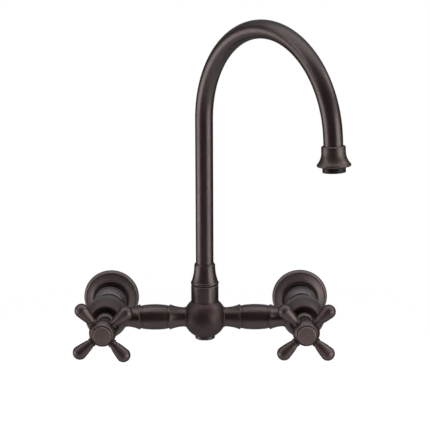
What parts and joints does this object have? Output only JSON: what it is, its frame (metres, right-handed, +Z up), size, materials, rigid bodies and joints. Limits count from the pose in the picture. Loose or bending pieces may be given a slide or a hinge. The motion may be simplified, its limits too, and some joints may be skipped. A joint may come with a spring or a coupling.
{
  "type": "kitchen faucet",
  "caption": "Wall-mounted bridge kitchen faucet with cross handles on quarter-turn valves, ball-shaped bodies, and a swivelling gooseneck spout with a bell nozzle.",
  "frame": {"origin": "on the wall, midway between the axes of the two wall inlets", "axes": "+Z up, +Y into the wall along the inlets, +X to the user's right along the bridge"},
  "size_m": [0.2673, 0.2667, 0.3433],
  "materials": {
    "bronze": "satin oil-rubbed bronze",
    "bronze_tube": "satin oil-rubbed bronze, drawn tube",
    "handle_bronze": "satin oil-rubbed bronze, handled",
    "stem_bronze": "dark satin bronze",
    "inlet_bronze": "dark satin bronze",
    "dark_metal": "black satin",
    "brass": "machined",
    "steel": "machined",
    "ceramic": "ground",
    "rubber": "moulded",
    "fibre": "pressed fibre",
    "nylon": "moulded"
  },
  "bodies": {
    "spout": {"aerator_housing": "dark_metal", "aerator_insert": "nylon", "aerator_screen": "steel", "aerator_washer": "rubber", "nozzle_bell": "bronze", "spout_collar": "bronze", "spout_seal_rings": "rubber", "spout_spigot": "brass", "spout_tube": "bronze_tube"},
    "bridge": {"bottom_plug": "bronze", "bottom_plug_washer": "fibre", "centre_body": "bronze", "left_bonnet": "bronze", "left_bridge_coupling": "bronze", "left_bridge_washer": "fibre", "left_cartridge_housing": "brass", "left_fixed_disc": "ceramic", "left_inlet_nipple": "inlet_bronze", "left_inner_bridge_arm": "bronze", "left_outer_bridge_arm": "bronze", "left_seat_seal": "rubber", "left_union_nut": "bronze", "left_union_tailpiece": "brass", "left_union_washer": "fibre", "left_valve_body": "bronze", "left_wall_flange": "bronze", "right_bonnet": "bronze", "right_bridge_coupling": "bronze", "right_bridge_washer": "fibre", "right_cartridge_housing": "brass", "right_fixed_disc": "ceramic", "right_inlet_nipple": "inlet_bronze", "right_inner_bridge_arm": "bronze", "right_outer_bridge_arm": "bronze", "right_seat_seal": "rubber", "right_union_nut": "bronze", "right_union_tailpiece": "brass", "right_union_washer": "fibre", "right_valve_body": "bronze", "right_wall_flange": "bronze", "spout_retainer_screw": "steel", "swivel_bush": "nylon"},
    "left_handle": {"left_cross_handle": "handle_bronze", "left_handle_cap": "handle_bronze", "left_handle_screw": "steel", "left_moving_disc": "ceramic", "left_stem": "stem_bronze", "left_stem_seal_rings": "rubber"},
    "right_handle": {"right_cross_handle": "handle_bronze", "right_handle_cap": "handle_bronze", "right_handle_screw": "steel", "right_moving_disc": "ceramic", "right_stem": "stem_bronze", "right_stem_seal_rings": "rubber"}
  },
  "joints": [
    {"name": "spout_swivel", "type": "hinge", "parent": "bridge", "child": "spout", "pos_m": [0, -0.08, 0.03], "axis": [0, 0, 1], "range_deg": [-127.5, 52.5]},
    {"name": "left_handle_turn", "type": "hinge", "parent": "bridge", "child": "left_handle", "pos_m": [-0.1016, -0.137, 0], "axis": [0, -1, 0], "range_deg": [0, 90]},
    {"name": "right_handle_turn", "type": "hinge", "parent": "bridge", "child": "right_handle", "pos_m": [0.1016, -0.137, 0], "axis": [0, 1, 0], "range_deg": [0, 90]}
  ]
}
